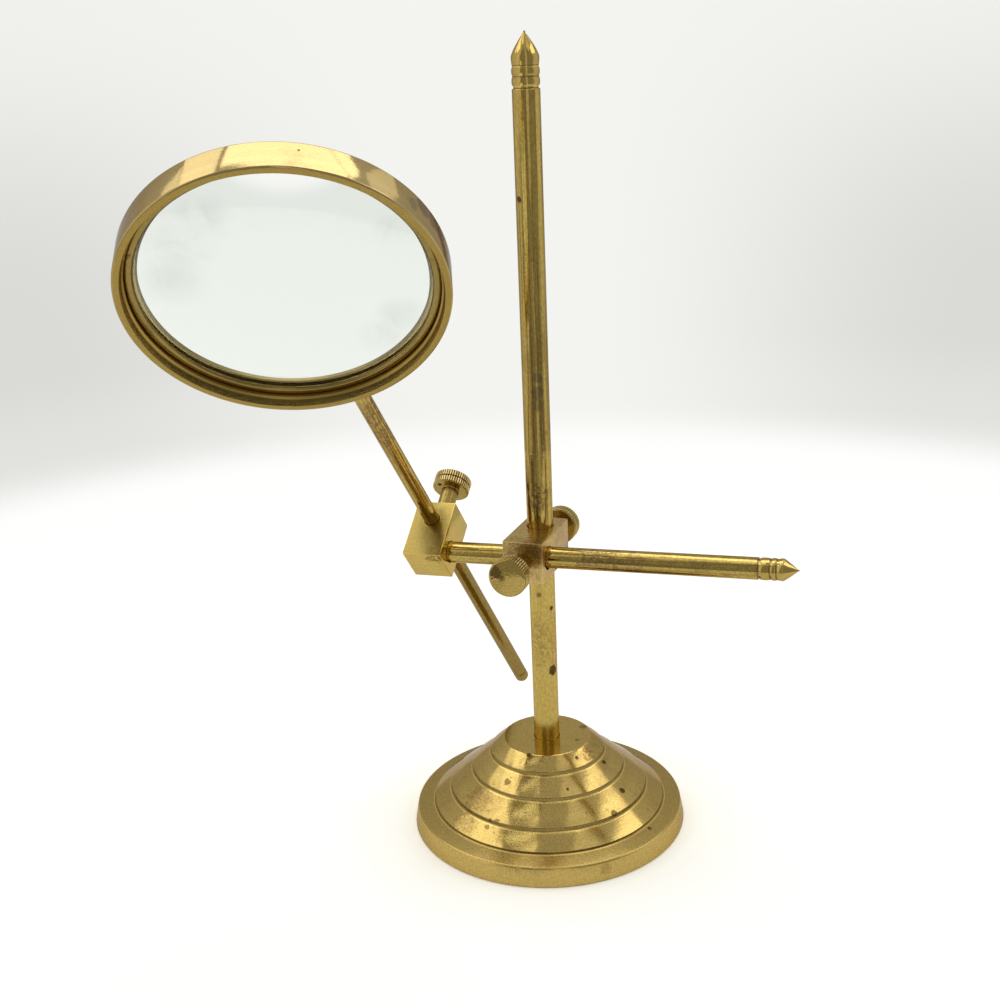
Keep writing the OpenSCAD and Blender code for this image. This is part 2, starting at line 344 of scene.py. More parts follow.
class Wiring:
    """A node tree being wired: short ways to add nodes and links."""

    def __init__(self, tree):
        self.tree = tree

    def add(self, kind, **settings):
        node = self.tree.nodes.new(kind)
        for key, value in settings.items():
            setattr(node, key, value)
        return node

    def wire(self, source, target):
        self.tree.links.new(source, target)

    def feed(self, value, socket):
        if isinstance(value, bpy.types.NodeSocket):
            self.wire(value, socket)
        else:
            socket.default_value = value

    def maths(self, operation, a, b=0.0, clamp=False):
        node = self.add("ShaderNodeMath", operation=operation, use_clamp=clamp)
        self.feed(a, node.inputs[0])
        self.feed(b, node.inputs[1])
        return node.outputs[0]

    def times(self, a, b):
        return self.maths("MULTIPLY", a, b)

    def plus(self, total, part, share):
        """A total with a share of one more part."""
        return self.maths("ADD", total, self.times(part, share))

    def ramp(self, value, low, high, to_low=0.0, to_high=1.0):
        node = self.add("ShaderNodeMapRange", interpolation_type="SMOOTHSTEP")
        self.feed(value, node.inputs["Value"])
        node.inputs["From Min"].default_value = low
        node.inputs["From Max"].default_value = high
        node.inputs["To Min"].default_value = to_low
        node.inputs["To Max"].default_value = to_high
        return node.outputs["Result"]

    def fall(self, value, low, high):
        """1 below low, 0 above high."""
        return self.ramp(value, low, high, 1.0, 0.0)

    def mix(self, factor, a, b):
        node = self.add("ShaderNodeMix", data_type="RGBA")
        self.feed(factor, node.inputs["Factor"])
        for value, socket in ((a, node.inputs[6]), (b, node.inputs[7])):
            self.feed(value if isinstance(value, bpy.types.NodeSocket) else (*value[:3], 1), socket)
        return node.outputs[2]

    def coat(self, under, mask, strength, paint):
        """A colour with a coat of paint where the mask is 1, as thick as its strength."""
        return self.mix(self.times(mask, strength), under, paint)

    def local(self, place):
        """Coordinates in a piece's own axes, in metres."""
        coordinates = self.add("ShaderNodeTexCoord")
        mapping = self.add("ShaderNodeMapping", vector_type="TEXTURE")
        mapping.inputs["Location"].default_value = place.to_translation()
        mapping.inputs["Rotation"].default_value = place.to_euler("XYZ")
        self.wire(coordinates.outputs["Object"], mapping.inputs["Vector"])
        return mapping.outputs["Vector"]

    def vector_maths(self, operation, a, b):
        node = self.add("ShaderNodeVectorMath", operation=operation)
        self.feed(a, node.inputs[0])
        self.feed(b, node.inputs[1])
        return node.outputs

    def moved(self, vector, offset):
        return self.vector_maths("ADD", vector, offset)[0]

    def stretched(self, vector, scale):
        return self.vector_maths("MULTIPLY", vector, scale)[0]

    def distance(self, where, centre):
        """The distance in metres from a centre given in millimetres."""
        return self.vector_maths("DISTANCE", where, [value * MM for value in centre])["Value"]

    def length(self, x, y):
        return self.maths("SQRT", self.plus(self.times(x, x), y, y))

    def between(self, value, low, high, soft=0.05):
        """1 between two sizes in millimetres, with a short fade at either end."""
        above = self.ramp(value, (low - soft) * MM, (low + soft) * MM)
        below = self.fall(value, (high - soft) * MM, (high + soft) * MM)
        return self.times(above, below)

    def split(self, vector):
        node = self.add("ShaderNodeSeparateXYZ")
        self.wire(vector, node.inputs[0])
        return tuple(node.outputs)

    def join(self, x, y, z):
        node = self.add("ShaderNodeCombineXYZ")
        for value, socket in zip((x, y, z), node.inputs):
            self.feed(value, socket)
        return node.outputs[0]

    def noise(self, vector, scale, detail=3.0, rough=0.55, distortion=0.0):
        node = self.add("ShaderNodeTexNoise")
        self.wire(vector, node.inputs["Vector"])
        node.inputs["Scale"].default_value = scale
        node.inputs["Detail"].default_value = detail
        node.inputs["Roughness"].default_value = rough
        node.inputs["Distortion"].default_value = distortion
        return node.outputs["Fac"]

    def cells(self, vector, scale):
        """Scattered cells: the distance to the nearest one's centre, and its random colour."""
        node = self.add("ShaderNodeTexVoronoi", feature="F1")
        self.wire(vector, node.inputs["Vector"])
        node.inputs["Scale"].default_value = scale
        return node.outputs["Distance"], node.outputs["Color"]

    def edges(self, width):
        """1 on a sharp edge that use has rubbed bare, and 0 on the flat."""
        rounded = self.add("ShaderNodeBevel", samples=4)
        rounded.inputs["Radius"].default_value = width
        flat = self.add("ShaderNodeNewGeometry").outputs["Normal"]
        match = self.vector_maths("DOT_PRODUCT", rounded.outputs["Normal"], flat)["Value"]
        return self.fall(match, 0.9, 0.995)

    def crevices(self, distance):
        """How deep a point lies in a corner, from 0 in the open to 1."""
        node = self.add("ShaderNodeAmbientOcclusion", samples=6)
        node.inputs["Distance"].default_value = distance
        return self.maths("SUBTRACT", 1.0, node.outputs["AO"], clamp=True)

    def bump(self, height, distance, strength=1.0, before=None):
        node = self.add("ShaderNodeBump")
        node.inputs["Distance"].default_value = distance
        node.inputs["Strength"].default_value = strength
        self.wire(height, node.inputs["Height"])
        if before is not None:
            self.wire(before, node.inputs["Normal"])
        return node.outputs["Normal"]

    def shader_of(self, kind, colour, strength=None):
        """The shader that a plain diffuse, emission or background node gives."""
        node = self.add(kind)
        self.feed(colour, node.inputs["Color"])
        if strength is not None:
            self.feed(strength, node.inputs["Strength"])
        return node.outputs[0]

    def choose(self, factor, a, b):
        """Shader a where the factor is 0, shader b where it is 1."""
        node = self.add("ShaderNodeMixShader")
        for value, socket in zip((factor, a, b), node.inputs):
            self.wire(value, socket)
        return node.outputs[0]

    def seen(self):
        """1 for what the camera sees, straight or through the lens."""
        path = self.add("ShaderNodeLightPath")
        return self.maths("MAXIMUM", path.outputs["Is Camera Ray"], path.outputs["Is Transmission Ray"])


class Finish(Wiring):
    """The wiring of a new material."""

    def __init__(self, name):
        self.material = bpy.data.materials.new(name)
        self.material.use_nodes = True
        super().__init__(self.material.node_tree)
        self.shader = self.tree.nodes["Principled BSDF"]
        self.surface = self.tree.nodes["Material Output"].inputs["Surface"]

    def set(self, **values):
        """Sets sockets of the shader that are the same all over, named with _ for a blank."""
        for key, value in values.items():
            self.shader.inputs[key.replace("_", " ")].default_value = value

    def drive(self, source, socket):
        self.wire(source, self.shader.inputs[socket])


def lighter(colour, factor):
    return [min(1.0, value * factor) for value in colour]


def tool_marks(f, work, spread, radius, z):
    """The fine lines, broad bands and long streaks of turned, drawn or milled work."""
    if work == "turned":
        wander = f.times(f.noise(spread, 12, 2), 0.003)
        lines = f.join(radius, z, wander)
        return f.noise(lines, 3000, 2, 0.7), f.noise(lines, 420, 3, 0.6), f.noise(lines, 160, 2, 0.5)
    lines = f.stretched(spread, (1, 1, 0.015) if work == "drawn" else (0.04, 1, 1))
    streaks = f.noise(f.stretched(spread, (1, 1, 0.012)), 1100, 3, 0.6)
    return f.noise(lines, 2600, 2, 0.7), f.noise(lines, 900, 3, 0.6), streaks


def brass(name, place, work, tarnished=0.35, stained=0.3, spotted=0.3, speckled=0.4, rough=0.2,
          tone=(1, 1, 1), grain=0.5, mottled=0.3, seed=0.0, drawn_out=0.0, worn=0.0,
          dirt_and_shade=0.8, zones=(), marks=()):
    """Aged brass: work is turned, drawn or milled, which sets the way of its tool marks.

    zones are places painted lighter or darker, some of them as painted light and shade, as (radii,
    heights, added roughness, shade), in millimetres; marks are single stains and one painted pit, as
    (centre, radius, strength, colour), in millimetres.
    """
    f = Finish(name)
    shades = colours()
    where = f.local(place)
    spread = f.moved(where, (seed, seed * 0.7, -seed * 0.4))
    x, y, z = f.split(where)
    radius = f.length(x, y)
    tooling, bands, streaks = tool_marks(f, work, spread, radius, z)

    # Tarnish in broad clouds, stains, fine specks, dark oxide spots, and dirt with painted shade in the
    # corners
    clouds = f.noise(spread, CLOUD_SCALE, 5, 0.62, 0.5)
    patches = f.ramp(clouds, 0.60 - 0.2 * tarnished, 0.74 - 0.1 * tarnished)
    blots = f.noise(f.stretched(spread, (1, 1, 1 - 0.6 * drawn_out)), STAIN_SCALE, 6, 0.68, 0.2)
    ragged = f.maths("SUBTRACT", blots, 0.5)
    stains = f.ramp(blots, 0.655 - 0.10 * stained, 0.72 - 0.08 * stained)
    fine = f.noise(spread, SPECK_SCALE, 4, 0.7)
    specks = f.times(f.ramp(fine, 0.66 - 0.06 * speckled, 0.74), f.ramp(clouds, 0.40, 0.60))
    near, cell = f.cells(f.stretched(spread, (1, 1, 1 - 0.5 * drawn_out)), SPOT_SCALE)
    size = f.ramp(f.split(cell)[0], 1 - 0.5 * spotted, 1.0, 0.0, 0.2)
    depth = f.maths("SUBTRACT", size, f.plus(near, ragged, 0.30))
    spots = f.ramp(depth, 0.0, 0.03)
    corners = f.ramp(f.crevices(DIRT_AND_SHADE_REACH), 0.3, 0.9)

    clean = [a * b for a, b in zip(shades.brass, tone)]
    brown = [a * b for a, b in zip(shades.tarnish, tone)]
    pale = [min(1.0, value * 1.1 + 0.012) for value in clean]
    colour = f.mix(f.ramp(bands, 0.35, 0.65, 0.0, 0.6), clean, pale)
    if drawn_out:
        colour = f.coat(colour, f.ramp(streaks, 0.50, 0.62), 0.8 * drawn_out, brown)
        colour = f.coat(colour, f.fall(streaks, 0.36, 0.46), 0.8 * drawn_out, lighter(clean, 1.3))
    colour = f.coat(colour, patches, 0.25 + 0.5 * tarnished, brown)
    colour = f.coat(colour, stains, 0.62, brown)
    colour = f.coat(colour, specks, 0.6, shades.spots)
    middle = f.mix(f.ramp(depth, 0.03, 0.08), shades.spots, [0.55 * value for value in brown])
    colour = f.coat(colour, spots, 0.88, middle)
    # Dirt and painted shade: corners are darkened where ambient occlusion finds them
    colour = f.coat(colour, corners, dirt_and_shade, shades.spots)
    matt = f.times(patches, 0.07)
    packed = None
    for radii, heights, rougher, shade in zones:
        zone = f.times(f.between(radius, *radii), f.between(z, *heights))
        parts = shade if isinstance(shade, tuple) else (shade,) * 3
        colour = f.coat(colour, zone, 0.9, [min(1.0, part * value) for part, value in zip(parts, clean)])
        matt = f.plus(matt, zone, rougher)
        if max(parts) < PACKED_DIRT_AND_SHADE:
            packed = zone
    for centre, reach, strength, stain in marks:
        far = f.plus(f.distance(where, centre), ragged, reach * 2.4 * MM)
        mark = f.times(f.fall(far, reach * 0.75 * MM, reach * 1.1 * MM), strength)
        if reach > CLUSTER:
            mark = f.times(mark, f.ramp(fine, 0.40, 0.58))
        colour = f.mix(mark, colour, stain)
        matt = f.plus(matt, mark, 0.12)
    grit = f.noise(f.stretched(spread, (1, 1, 1 - 0.7 * drawn_out)), GRIT_SCALE, 2, 0.6)
    colour = f.stretched(colour, f.ramp(grit, 0.34, 0.66, 1 - 0.3 * mottled, 1 + 0.25 * mottled))
    if worn:
        colour = f.coat(colour, f.edges(WORN_REACH), worn, lighter(pale, 1.35))
    f.drive(colour, "Base Color")

    marred = f.maths("MAXIMUM", f.maths("MAXIMUM", spots, stains), f.times(corners, dirt_and_shade))
    matt = f.plus(matt, marred, 0.2)
    matt = f.plus(matt, f.maths("SUBTRACT", streaks, 0.5), 0.12)
    matt = f.plus(matt, f.maths("SUBTRACT", fine, 0.5), 0.06 * grain)
    f.drive(f.maths("ADD", matt, rough, clamp=True), "Roughness")
    f.set(Metallic=1.0, Specular_Tint=(0.72, 0.66, 0.62, 1))
    if packed:
        # Dirt and painted shade between the teeth are no metal
        f.drive(f.maths("SUBTRACT", 1.0, packed, clamp=True), "Metallic")

    normal = f.bump(tooling, 0.000010 * grain)
    normal = f.bump(bands, 0.000022 * grain, before=normal)
    normal = f.bump(clouds, 0.00025, 0.5, normal)
    normal = f.bump(f.maths("SUBTRACT", 1.0, spots), 0.00004, before=normal)
    if drawn_out:
        normal = f.bump(streaks, 0.0001 * drawn_out, before=normal)
    f.drive(normal, "Normal")
    return f


def grooved(f, place, amount):
    """Stretches the gloss of a turned piece across its lathe grooves."""
    f.set(Anisotropic=amount, Anisotropic_Rotation=0.25)
    here = f.add("ShaderNodeTexCoord").outputs["Object"]
    outward = f.moved(here, -place.to_translation())
    axis = place.to_3x3() @ Vector((0, 0, 1))
    along = f.vector_maths("CROSS_PRODUCT", axis, outward)[0]
    to_world = f.add("ShaderNodeVectorTransform", vector_type="VECTOR",
                     convert_from="OBJECT", convert_to="WORLD")
    f.wire(along, to_world.inputs[0])
    f.drive(to_world.outputs[0], "Tangent")
    return f


def steel(name, place):
    """Plain steel with a little brown rust in its corners."""
    f = Finish(name)
    where = f.local(place)
    cloud = f.noise(where, 160, 4, 0.6)
    fine = f.noise(where, 1800, 3, 0.6)
    rust = f.ramp(f.plus(cloud, f.crevices(0.002), 0.25), 0.55, 0.8)
    f.drive(f.coat(colours().steel, rust, 0.7, (0.16, 0.09, 0.05)), "Base Color")
    f.set(Metallic=1.0)
    f.drive(f.maths("ADD", f.times(rust, 0.3), 0.34), "Roughness")
    f.drive(f.bump(fine, 0.00001), "Normal")
    return f


def lens_glass(name, place):
    """Clear crown glass with dust, a painted sheen that glows along its top, and finger smudges towards
    both sides.
    """
    f = Finish(name)
    where = f.local(place)
    flat = f.stretched(where, (1, 1, 0))
    prints = ((-12, 33, 9), (-22, 26, 11), (-30, 14, 10), (20, -29, 8), (28, -23, 8), (38, 11, 6))
    area = None
    for across, up, size in prints:
        mark = f.fall(f.distance(flat, (across, up, 0)), size * 0.1 * MM, size * 1.3 * MM)
        area = f.maths("MAXIMUM", area, mark) if area else mark
    clouds = f.noise(where, 60, 5, 0.6, 0.8)
    smudge = f.times(area, f.ramp(clouds, 0.38, 0.60, 0.3, 1.0))
    dust = f.ramp(f.noise(where, 1100, 2, 0.6), 0.70, 0.78)
    # Painted highlight: a white sheen along the top, which also glows
    sheen = f.fall(f.distance(flat, (22.3, 55.7, 0)), 0.020, 0.027)
    tint = tuple(colours().glass)
    colour = f.mix(smudge, tint, [value * 0.87 for value in tint])
    colour = f.mix(sheen, colour, (1, 1, 1))
    f.drive(f.coat(colour, dust, 0.35, (0.75, 0.76, 0.74)), "Base Color")
    f.drive(f.times(sheen, 0.06), "Emission Strength")
    f.drive(f.times(smudge, 0.025), "Roughness")
    f.set(Emission_Color=(1, 1, 1, 1), Transmission_Weight=1.0, IOR=1.52)
    return f


# Outlines and zones


def rings(*rows):
    """Zones that go right round a finial, each from (low, high, shade), painted darker or lighter."""
    return [((0, 9), (low, high), 0.1, shade) for low, high, shade in rows]


def bead(r, low, high, count=8):
    """A barrel bead: full in the middle and drawn in at both ends."""
    points = []
    for i in range(count + 1):
        t = 2 * i / count - 1
        points.append((r * (1 - (1 - WAIST) * abs(t) ** 3), low + (high - low) * i / count))
    return points


def nose(r, foot, wide, tip, full, tip_r=0.3, count=14):
    """A finial's nose: out to its widest place, then in to a slightly blunt point."""
    points = []
    for i in range(5):
        t = i / 4
        points.append((r * (1 - (1 - WAIST) * (1 - t) ** 2), foot + (wide - foot) * t))
    for i in range(1, count + 1):
        t = i / count
        points.append((max(tip_r, r * (1 - t ** full)), wide + (tip - 0.12 - wide) * t))
    return points + [(tip_r * 0.6, tip - 0.04), (0, tip)]


def finial_outline(r, neck, beads, foot, wide, tip, full):
    """A turned finial from its shoulder at height 0, with the peg that goes into the rod."""
    peg = r * PEG_SHARE
    outline = [(0, -8), (peg, -8), (peg, 0), (r * 0.89, 0), (r * 0.89, neck)]
    for low, high in beads:
        outline += bead(r, low, high)
    return outline + nose(r, foot, wide, tip, full)


def rod_outline(r, low, high, peg_low=False, peg_high=False, edge=0.12, lengths=12):
    """A plain rod with its ends just broken, and the holes for its finials' pegs."""
    peg = r * PEG_SHARE
    outline = [(0, low + PEG_HOLE), (peg, low + PEG_HOLE), (peg, low)] if peg_low else [(0, low)]
    outline += [(r - edge, low), (r, low + edge)]
    outline += [(r, low + (high - low) * i / lengths) for i in range(1, lengths)]
    outline += [(r, high - edge), (r - edge, high)]
    outline += [(peg, high), (peg, high - PEG_HOLE), (0, high - PEG_HOLE)] if peg_high else [(0, high)]
    return outline


# Operators


class MAGNIFIER_OT_base(bpy.types.Operator):
    """Turns the heavy stepped base"""

    bl_idname = "magnifier.base"
    bl_label = "Stepped Base"

    def execute(self, context):
        outline = soften([
            (4.8, 14), (4.8, 33.65, 0.1), (5.0, 33.8, 0.05), (16.5, 33.8, 0.35),
            (21.587, 29.366, 0.2), (21.587, 28.266, 0.15), (21.987, 28.066, 0.15),
            (28.79, 22.762, 0.2), (28.79, 21.662, 0.15), (29.19, 21.462, 0.15),
            (37.4, 15.467, 0.2), (37.4, 14.167, 0.15), (37.8, 13.967, 0.15),
            (44.0, 9.7, 0.15), (44.0, 8.9, 0.12), (44.4, 8.7, 0.15),
            (50.7, 7.4, 0.8), (52.0, 0.5, 0.25), (51.5, 0, 0.15),
            (11.3, 0, 0.15), (11, 0.3, 0.15), (11, 8.5, 0.1),
            (3.05, 8.5), (3.05, 14), (4.8, 14),
        ])
        obj = turned("StandBase", outline, fine=1.75, sharp=40)
        # Painted shade on the flange's top, and painted light on the flange's wall and on the disc at the
        # top; all three are a little rougher too
        zones = [
            ((44.4, 51), (7.2, 12), 0.16, 0.92),
            ((50, 60), (-1, 7.2), 0.13, 1.35),
            ((0, 16.6), (33.3, 40), 0.03, 1.12),
        ]
        # Each groove is painted darker, and the lip below it carries a painted highlight
        zones += [((r - 0.1, r + 0.4), (0, 40), 0.05, 0.6) for r in GROOVES]
        zones += [((r + 0.4, r + 0.8), (0, 40), 0.06, 1.45) for r in GROOVES]
        light = (0.27, 0.16, 0.05)
        middling = (0.14, 0.08, 0.02)
        dark = (0.085, 0.05, 0.014)
        marks = [
            ((-7.3, -24.4, 25.4), 1.6, 0.8, middling), ((23.4, -2.4, 26.8), 1.0, 0.95, dark),
            ((31.8, -7.2, 19.0), 1.2, 0.95, dark), ((11.1, 10.1, 33.8), 1.6, 0.7, light),
            ((-1.5, -16.8, 33.5), 0.8, 0.9, dark), ((32, -18.5, 15.8), 1.6, 0.8, dark),
            ((-10.9, -37.5, 13.1), 1.1, 0.7, middling), ((-10.2, -36, 15.4), 1.0, 0.7, middling),
            ((18.6, -5.6, 31.3), 3.2, 0.9, light), ((43.9, -13.3, 8.4), 1.0, 0.8, dark),
            ((34.6, -37.8, 4.5), 2.2, 0.3, light), ((12.4, -0.9, 33.8), 0.9, 0.7, light),
            ((-17.1, -28.2, 18.7), 7, 0.6, light), ((-20, -35, 12), 5, 0.5, light),
        ]
        finish = brass("base turned brass", UPRIGHT, "turned", tarnished=0.3, stained=0.42, rough=0.12,
                       spotted=0.35, speckled=0.7, grain=0.8, mottled=0.45, seed=0.31,
                       tone=(1.06, 1.06, 1.12), zones=zones, marks=marks)
        keep(obj, "base", grooved(finish, UPRIGHT, 0.5), "base")
        return {"FINISHED"}


class MAGNIFIER_OT_rods(bpy.types.Operator):
    """Turns the post, the cross arm and the lens rod"""

    bl_idname = "magnifier.rods"
    bl_label = "Post, Arm and Rod"

    def execute(self, context):
        # The post's screw stays inside the base
        outline = [(0, 1.5), (2.6, 1.5), (3.0, 1.9)]
        for i in range(14):
            z = 2.2 + i * 0.8
            outline += [(3.0, z), (2.65, z + 0.4)]
        outline += [(3.0, 13.9), (3.0, POST_FOOT)]
        outline += rod_outline(POST_R, POST_FOOT, POST_TOP, peg_high=True)[1:]
        grey = (0.17, 0.13, 0.075)
        dark = (0.075, 0.045, 0.014)
        marks = [
            ((0.4, -4.7, 93.4), 1.3, 0.7, (0.2, 0.12, 0.04)), ((4.1, -2.4, 62.6), 2.0, 0.95, dark),
            ((4.2, -2.2, 87.7), 0.9, 0.9, dark), ((-2.4, -4.1, 236.3), 1.3, 0.9, dark),
            ((2.4, -4.1, 175), 2.0, 0.55, grey), ((2.2, -4.2, 170), 2.4, 0.6, grey),
            ((1.9, -4.3, 165), 2.0, 0.5, grey), ((-1, -4.6, 132), 6, 0.8, (0.15, 0.085, 0.03)),
            ((0, -4.7, 74), 12, 0.4, (0.27, 0.165, 0.05)),
        ]
        # Painted light: the post's lower part, which reflects the bright floor, is painted lighter and
        # made rougher
        finish = brass("post drawn brass", UPRIGHT, "drawn", tarnished=0.3, stained=0.25, rough=0.06,
                       mottled=0.5, seed=0.12, drawn_out=0.8, tone=(1.08, 1.1, 1.02),
                       zones=[((4, 6), (33, 105), 0.16, 1.2)], marks=marks)
        keep(turned("StandPost", outline), "post", finish, "post")

        mauve = (0.19, 0.11, 0.07)
        outline = rod_outline(ARM_R, ARM_INNER, ARM_REACH, peg_high=True)
        marks = [((-2, -3.2, 28), 9, 0.6, mauve), ((-0.5, -3.8, 40), 5, 0.4, mauve),
                 ((1, -3.7, 63), 4, 0.35, mauve)]
        finish = brass("arm drawn brass", ARM_LINE, "drawn", tarnished=0.3, stained=0.4, rough=0.08,
                       speckled=0.8, mottled=0.6, seed=0.45, drawn_out=0.6,
                       tone=(1.06, 1.08, 1.0), marks=marks)
        keep(turned("CrossArm", outline, ARM_LINE), "arm", finish, "cross_arm")

        # A spigot at the lens rod's upper end goes into the frame
        outline = rod_outline(ROD_R, -ROD_DOWN, ROD_UP + 1.3, peg_low=True)[:-1]
        outline += [(1.9, ROD_UP + 1.3), (1.9, ROD_UP + 2.5), (0, ROD_UP + 2.5)]
        marks = [((1.8, -2.2, 72), 7, 0.6, mauve), ((1.3, -2.5, 60), 6, 0.6, mauve)]
        # Painted shade: the rod below the lens block, which reflects something dark, is painted darker
        finish = brass("lens rod drawn brass", ROD, "drawn", tarnished=0.45, stained=0.4, rough=0.1,
                       mottled=0.6, seed=0.77, drawn_out=0.8, tone=(1.15, 1.13, 1.1),
                       zones=[((2, 3), (-111, -8), 0.05, 0.55)], marks=marks)
        keep(turned("LensRod", outline, ROD), "rod", finish, "lens_rod")
        return {"FINISHED"}


class MAGNIFIER_OT_finials(bpy.types.Operator):
    """Turns the three finials"""

    bl_idname = "magnifier.finials"
    bl_label = "Finials"

    def execute(self, context):
        place = shift(0, 0, POST_TOP)
        outline = finial_outline(POST_R, 0.9, [(0.9, 3.7), (4.2, 6.85)], 7.3, 10, 18.2, 1.32)
        # The grooves are painted darker, and the ends of the beads lighter as painted highlights
        grooves = rings((-0.1, 0.45, 0.5), (0.5, 1.0, 1.4), (3.7, 4.15, 0.55), (6.8, 7.2, 1.5),
                        (7.25, 7.55, 0.5))
        finish = brass("post finial brass", place, "turned", tarnished=0.3, rough=0.05, spotted=0.4,
                       grain=0.3, seed=0.2, dirt_and_shade=1.0, tone=(1.12, 1.12, 1.1), zones=grooves)
        keep(turned("PostFinial", outline, place), "post", finish, "post_finial")

        place = ARM_LINE @ shift(0, 0, ARM_REACH)
        outline = finial_outline(ARM_R, 0.65, [(0.65, 4.05), (4.45, 6.25)], 6.65, 8.45, 13.8, 1.12)
        # The grooves are painted darker
        grooves = rings((-0.1, 0.6, 0.5), (3.95, 4.5, 0.4), (6.15, 6.7, 0.4))
        finish = brass("arm finial brass", place, "turned", tarnished=0.35, rough=0.08, spotted=0.4,
                       grain=0.3, seed=0.5, dirt_and_shade=1.0, tone=(1.12, 1.12, 1.1), zones=grooves)
        keep(turned("ArmFinial", outline, place), "arm", finish, "arm_finial")

        place = ROD @ shift(0, 0, -ROD_DOWN) @ turn(180, "X")
        outline = finial_outline(ROD_R, 0.5, [(0.5, 2.9)], 3.2, 4.7, 8.86, 1.4)
        finish = brass("rod finial brass", place, "turned", tarnished=0.6, spotted=0.6,
                       grain=0.4, seed=0.8, tone=(0.7, 0.66, 0.62))
        keep(turned("RodFinial", outline, place), "rod", finish, "rod_finial")
        return {"FINISHED"}


class MAGNIFIER_OT_blocks(bpy.types.Operator):
    """Mills and drills the two square blocks"""

    bl_idname = "magnifier.blocks"
    bl_label = "Clamp and Lens Blocks"

    def execute(self, context):
        clamp = block("ClampBlock", (-BAR_HALF, CLAMP_FACE, ARM_Z - BAR_HALF),
                      (BAR_HALF, CLAMP_REAR, ARM_Z + BAR_HALF))
        cut_with(clamp, drill(POST_BORE, ARM_Z - BAR_HALF, ARM_Z + BAR_HALF, UPRIGHT))
        # The arm's bore is level, and wide enough for the arm's droop
        cut_with(clamp, drill(ARM_BORE, -BAR_HALF, BAR_HALF, CLAMP @ turn(90, "Y")))
        cut_with(clamp, drill(SCREW_BORE, -6.9, 0, ARM_LOCK, flare_low=False))
        cut_with(clamp, drill(SCREW_BORE, -9.4, 0, POST_LOCK, flare_low=False))
        smooth(clamp, 30)
        finish = brass("clamp block milled brass", CLAMP, "milled", tarnished=0.6, stained=0.35,
                       rough=0.24, grain=0.8, mottled=0.9, seed=0.15, worn=0.9,
                       tone=(1.3, 1.3, 1.75), marks=[((0, -8, 3), 8, 0.45, (0.15, 0.085, 0.02))])
        keep(clamp, "clamp", finish, "clamp_block")

        inner = -ROD_REACH + BAR_HALF
        lens_block = block("LensBlock", (-ROD_REACH - BAR_HALF, LENS_FACE, -BAR_HALF),
                           (inner, LENS_REAR, BAR_HALF))
        cut_with(lens_block, drill(ARM_SOCKET, -44.2, inner, turn(90, "Y"), flare_low=False))
        cut_with(lens_block, drill(ROD_BORE, -BAR_HALF, BAR_HALF, shift(-ROD_REACH, ROD_Y, 0)))
        lock = shift(-ROD_REACH, LENS_REAR, 0) @ turn(-90, "X")
        cut_with(lens_block, drill(SCREW_BORE, -7.36, 0, lock, flare_low=False))
        smooth(lens_block, 30)
        settle(lens_block, LENS_BLOCK)
        # Painted shade: the top face of the lens block is painted darker than its sides
        finish = brass("lens block milled brass", LENS_BLOCK, "milled", tarnished=0.15, stained=0.15,
                       rough=0.15, spotted=0.4, grain=0.7, seed=0.55, worn=0.8, tone=(1.34, 1.38, 1.3),
                       zones=[((0, 80), (BAR_HALF - 0.1, 20), 0.08, 0.44)],
                       marks=[((-34, LENS_FACE, 5.2), 3.4, 0.8, (0.14, 0.08, 0.02))])
        keep(lens_block, "lens_block", finish, "lens_block")
        return {"FINISHED"}


class MAGNIFIER_OT_thumbscrews(bpy.types.Operator):
    """Turns and knurls one thumbscrew head and copies it"""

    bl_idname = "magnifier.thumbscrews"
    bl_label = "Thumbscrew Heads"

    def execute(self, context):
        outline = soften([
            (0, 12.5), (SCREW_BORE, 12.5), (SCREW_BORE, 0.05), (3.0, 0.05, 0.08), (3.2, 0.25, 0.1),
            (3.2, 10.2, 0.1), (3.4, 10.4, 0.1), (6.4, 10.4, 0.1), (6.7, 10.55),
            (RIM_R, 10.85), (RIM_R, 12.8), (6.85, 12.87), (6.25, 12.9), (6.25, 13.3), (6.85, 13.33),
            (RIM_R, 13.4), (RIM_R, 15.35), (6.7, 15.65), (6.4, 15.78, 0.1), (6.0, 15.8), (0, 15.8),
        ], points=3)
        steps = sizes().teeth * 4
        head = turned("thumbscrew head", outline, steps=steps, sharp=35)
        knurl(head, steps, 6.7, 1 - sizes().tooth_depth / (RIM_R * MM))
        smooth(head, 35)

        # Each head as (piece, node, place, seed, tarnish, wear and painted highlight on the teeth's
        # crests, marks)
        # The pit is not cut: its dark hollow is painted on, as dirt and painted shade
        pit = [((-2.95, -3.86, 10.4), 0.95, 1.0, (0.02, 0.01, 0.005))]
        rows = (
            ("ArmLockHead", "arm_lock_head", ARM_LOCK, 0.1, 0.35, (1.9, 1.9, 2.2), ()),
            ("PostLockHead", "post_lock_head", POST_LOCK, 0.4, 0.45, (2.2, 2.3, 2.8), ()),
            ("RodLockHead", "rod_lock_head", ROD_LOCK, 0.7, 0.3, (1.5, 1.6, 2.4), pit),
        )
        for name, node, place, seed, tarnished, crest, marks in rows:
            pick(head)
            bpy.ops.object.duplicate()
            copy = settle(named(bpy.context.object, name), place)
            # A darker neck and underside, dirt and painted shade between the teeth, and wear with a
            # painted highlight on their crests
            zones = [
                ((0, 3.4), (-1, 10.3), 0.22, 0.75), ((3.4, 6.9), (10, 10.5), 0.15, 0.85),
                ((6.0, 6.84), (10.6, 15.6), 0.3, 0.05), ((6.88, 8), (10.7, 15.6), 0.25, crest),
            ]
            finish = brass(node.replace("_", " ") + " brass", place, "turned", tarnished=tarnished,
                           rough=0.035, grain=0.25, mottled=0.5, seed=seed, worn=0.5,
                           zones=zones, marks=marks)
            keep(copy, node, grooved(finish, place, 0.3), node)
        bpy.data.objects.remove(head)
        return {"FINISHED"}


